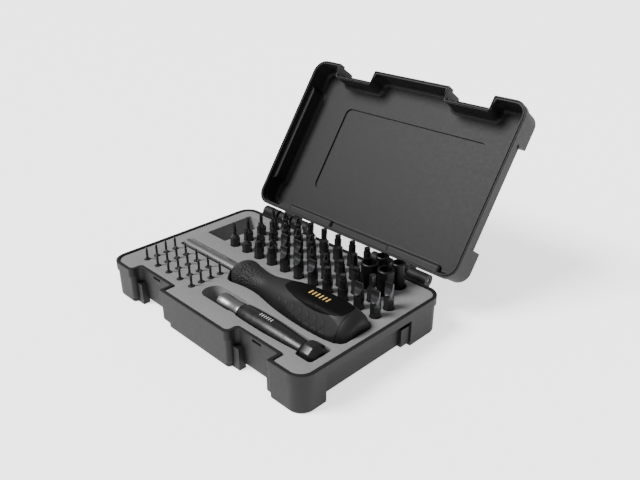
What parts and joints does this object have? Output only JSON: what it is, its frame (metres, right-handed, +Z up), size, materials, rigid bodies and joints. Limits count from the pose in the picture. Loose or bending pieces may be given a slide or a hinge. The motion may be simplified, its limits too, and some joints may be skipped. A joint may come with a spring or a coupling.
{
  "type": "precision screwdriver set",
  "caption": "Precision screwdriver set in a hinged case: foam insert with bits, large bit driver and small swivel-cap driver.",
  "frame": {"origin": "centre of the case's footprint, on the surface it stands on", "axes": "+X along the case to the right seen from the latches, +Y from the latches to the hinge, +Z up"},
  "size_m": [0.2, 0.2393, 0.1384],
  "materials": {
    "case_plastic": "fine moulded texture",
    "pin_steel": "plain steel",
    "foam": "closed-cell foam",
    "grip_rubber": "soft matte rubber with an embossed pattern",
    "core_plastic": "hard plastic",
    "chrome_steel": "satin chrome",
    "magnet": "nickel",
    "label_black": "printed panel with a plain hatch",
    "gloss_black": "glossy",
    "satin_silver": "satin",
    "bit_steel": "black oxide",
    "socket_steel": "black oxide, satin"
  },
  "bodies": {
    "base": {"case_base": "case_plastic", "hinge_pin_left": "pin_steel", "hinge_pin_right": "pin_steel", "foam_insert": "foam", "fine_slotted_bits": "bit_steel", "wide_slotted_bits": "bit_steel", "cross_bits": "bit_steel", "hex_bits": "bit_steel", "star_bits": "bit_steel", "micro_slotted_bits": "bit_steel", "micro_cross_bits": "bit_steel", "micro_star_bits": "bit_steel", "micro_hex_bits": "bit_steel", "nut_sockets": "socket_steel"},
    "lid": {"case_lid": "case_plastic", "latch_pin_left": "pin_steel", "latch_pin_right": "pin_steel"},
    "latch_l": {"latch_left": "case_plastic"},
    "latch_r": {"latch_right": "case_plastic"},
    "driver": {"driver_grip": "grip_rubber", "driver_core": "core_plastic", "driver_shank": "chrome_steel", "driver_magnet": "magnet", "driver_label_plate": "label_black"},
    "precision": {"precision_body": "gloss_black", "precision_nose": "satin_silver", "precision_magnet": "magnet", "precision_cap_pin": "pin_steel", "precision_label_plate": "label_black"},
    "cap": {"precision_cap": "gloss_black"}
  },
  "joints": [
    {"name": "lid_hinge", "type": "hinge", "parent": "base", "child": "lid", "pos_m": [0, 0.0705, 0.02735], "axis": [-1, 0, 0], "range_deg": [-124.8, 0]},
    {"name": "latch_left_swing", "type": "hinge", "parent": "lid", "child": "latch_l", "pos_m": [-0.0549, 0.15517, 0.12438], "axis": [-1, 0, 0], "range_deg": [-180, 0]},
    {"name": "latch_right_swing", "type": "hinge", "parent": "lid", "child": "latch_r", "pos_m": [0.05355, 0.15517, 0.12438], "axis": [-1, 0, 0], "range_deg": [-180, 0]},
    {"name": "driver_lift", "type": "slide", "parent": "base", "child": "driver", "axis": [0, 0, 1], "range_m": [0, 0.06]},
    {"name": "precision_lift", "type": "slide", "parent": "base", "child": "precision", "axis": [0, 0, 1], "range_m": [0, 0.05]},
    {"name": "cap_spin", "type": "hinge", "parent": "precision", "child": "cap", "pos_m": [0.084, -0.0398, 0.023], "axis": [1, 0, 0], "continuous": true}
  ]
}
